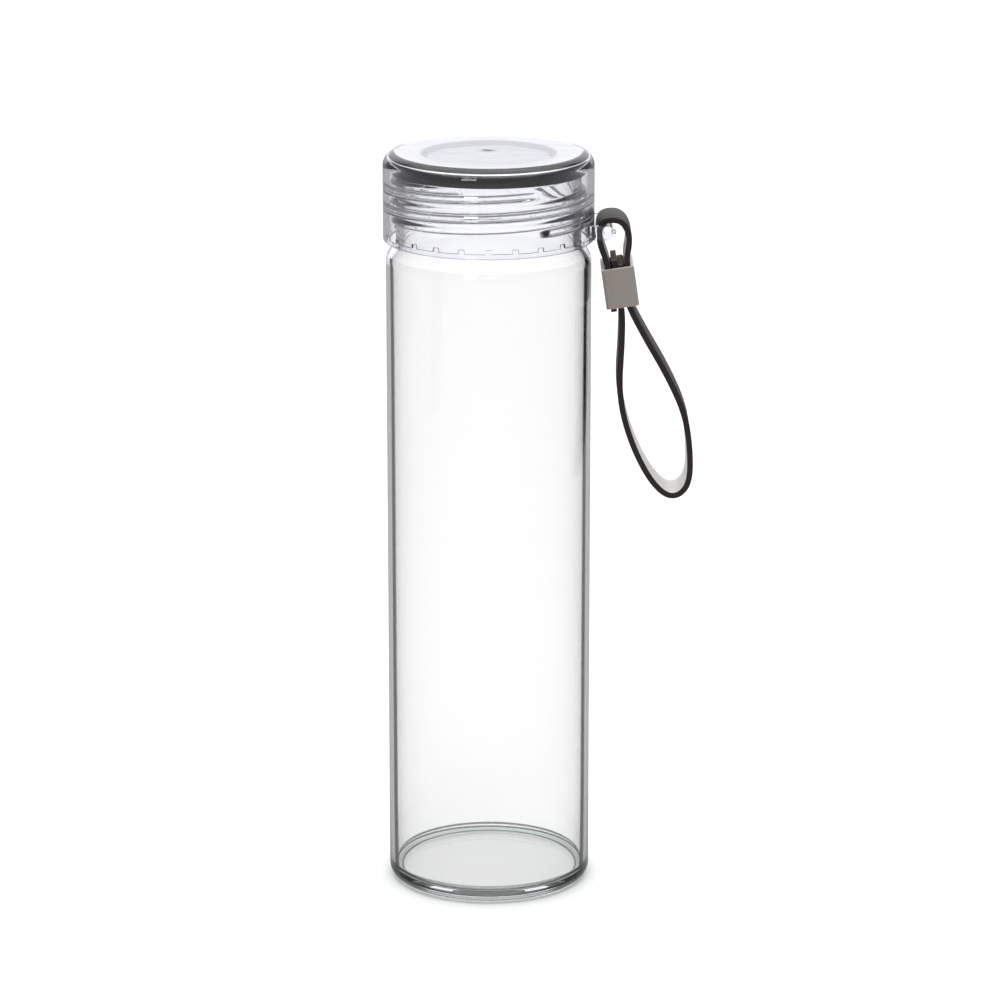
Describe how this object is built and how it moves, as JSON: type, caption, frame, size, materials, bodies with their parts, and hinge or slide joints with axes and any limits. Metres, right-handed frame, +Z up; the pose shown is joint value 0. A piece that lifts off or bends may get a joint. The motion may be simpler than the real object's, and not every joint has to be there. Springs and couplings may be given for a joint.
{
  "type": "glass water bottle",
  "caption": "Straight clear glass water bottle with a clear screw cap, a black seal, a milky liner and a flat wrist strap held by a grey ferrule on a side lug.",
  "frame": {"origin": "centre of the base disc, on the surface the bottle stands on", "axes": "+Z up along the bottle's axis, +X from the axis towards the strap lug on the cap, +Y by the right-hand rule"},
  "size_m": [0.0908, 0.0616, 0.2208],
  "materials": {
    "borosilicate_glass": "clear, fire-polished",
    "clear_copolyester": "clear, injection moulded, high gloss",
    "milky_polypropylene": "translucent, moulded",
    "black_silicone": "smooth, slightly shiny",
    "grey_polymer": "satin, moulded",
    "coated_strap": "black grained face, pale grey backing"
  },
  "bodies": {
    "bottle": {"glass_bottle": "borosilicate_glass"},
    "seal": {"liner_disc": "milky_polypropylene", "seal_ring": "black_silicone"},
    "cap": {"screw_cap": "clear_copolyester"},
    "strap": {"strap_ferrule": "grey_polymer", "hanger_strap": "coated_strap", "wrist_strap": "coated_strap"}
  },
  "joints": [
    {"name": "cap_lift", "type": "slide", "parent": "bottle", "child": "seal", "axis": [0, 0, 1], "range_m": [0, 0.0228]},
    {"name": "cap_turn", "type": "hinge", "parent": "seal", "child": "cap", "pos_m": [0, 0, 0.2], "axis": [0, 0, 1], "range_deg": [0, 1440]},
    {"name": "strap_swing", "type": "hinge", "parent": "cap", "child": "strap", "pos_m": [0.0353, 0, 0.1986], "axis": [0, -1, 0], "range_deg": [-5, 90]}
  ],
  "couplings": [
    {"joint": "cap_lift", "follows": "cap_turn", "m_per_rad": 0.00090718}
  ]
}
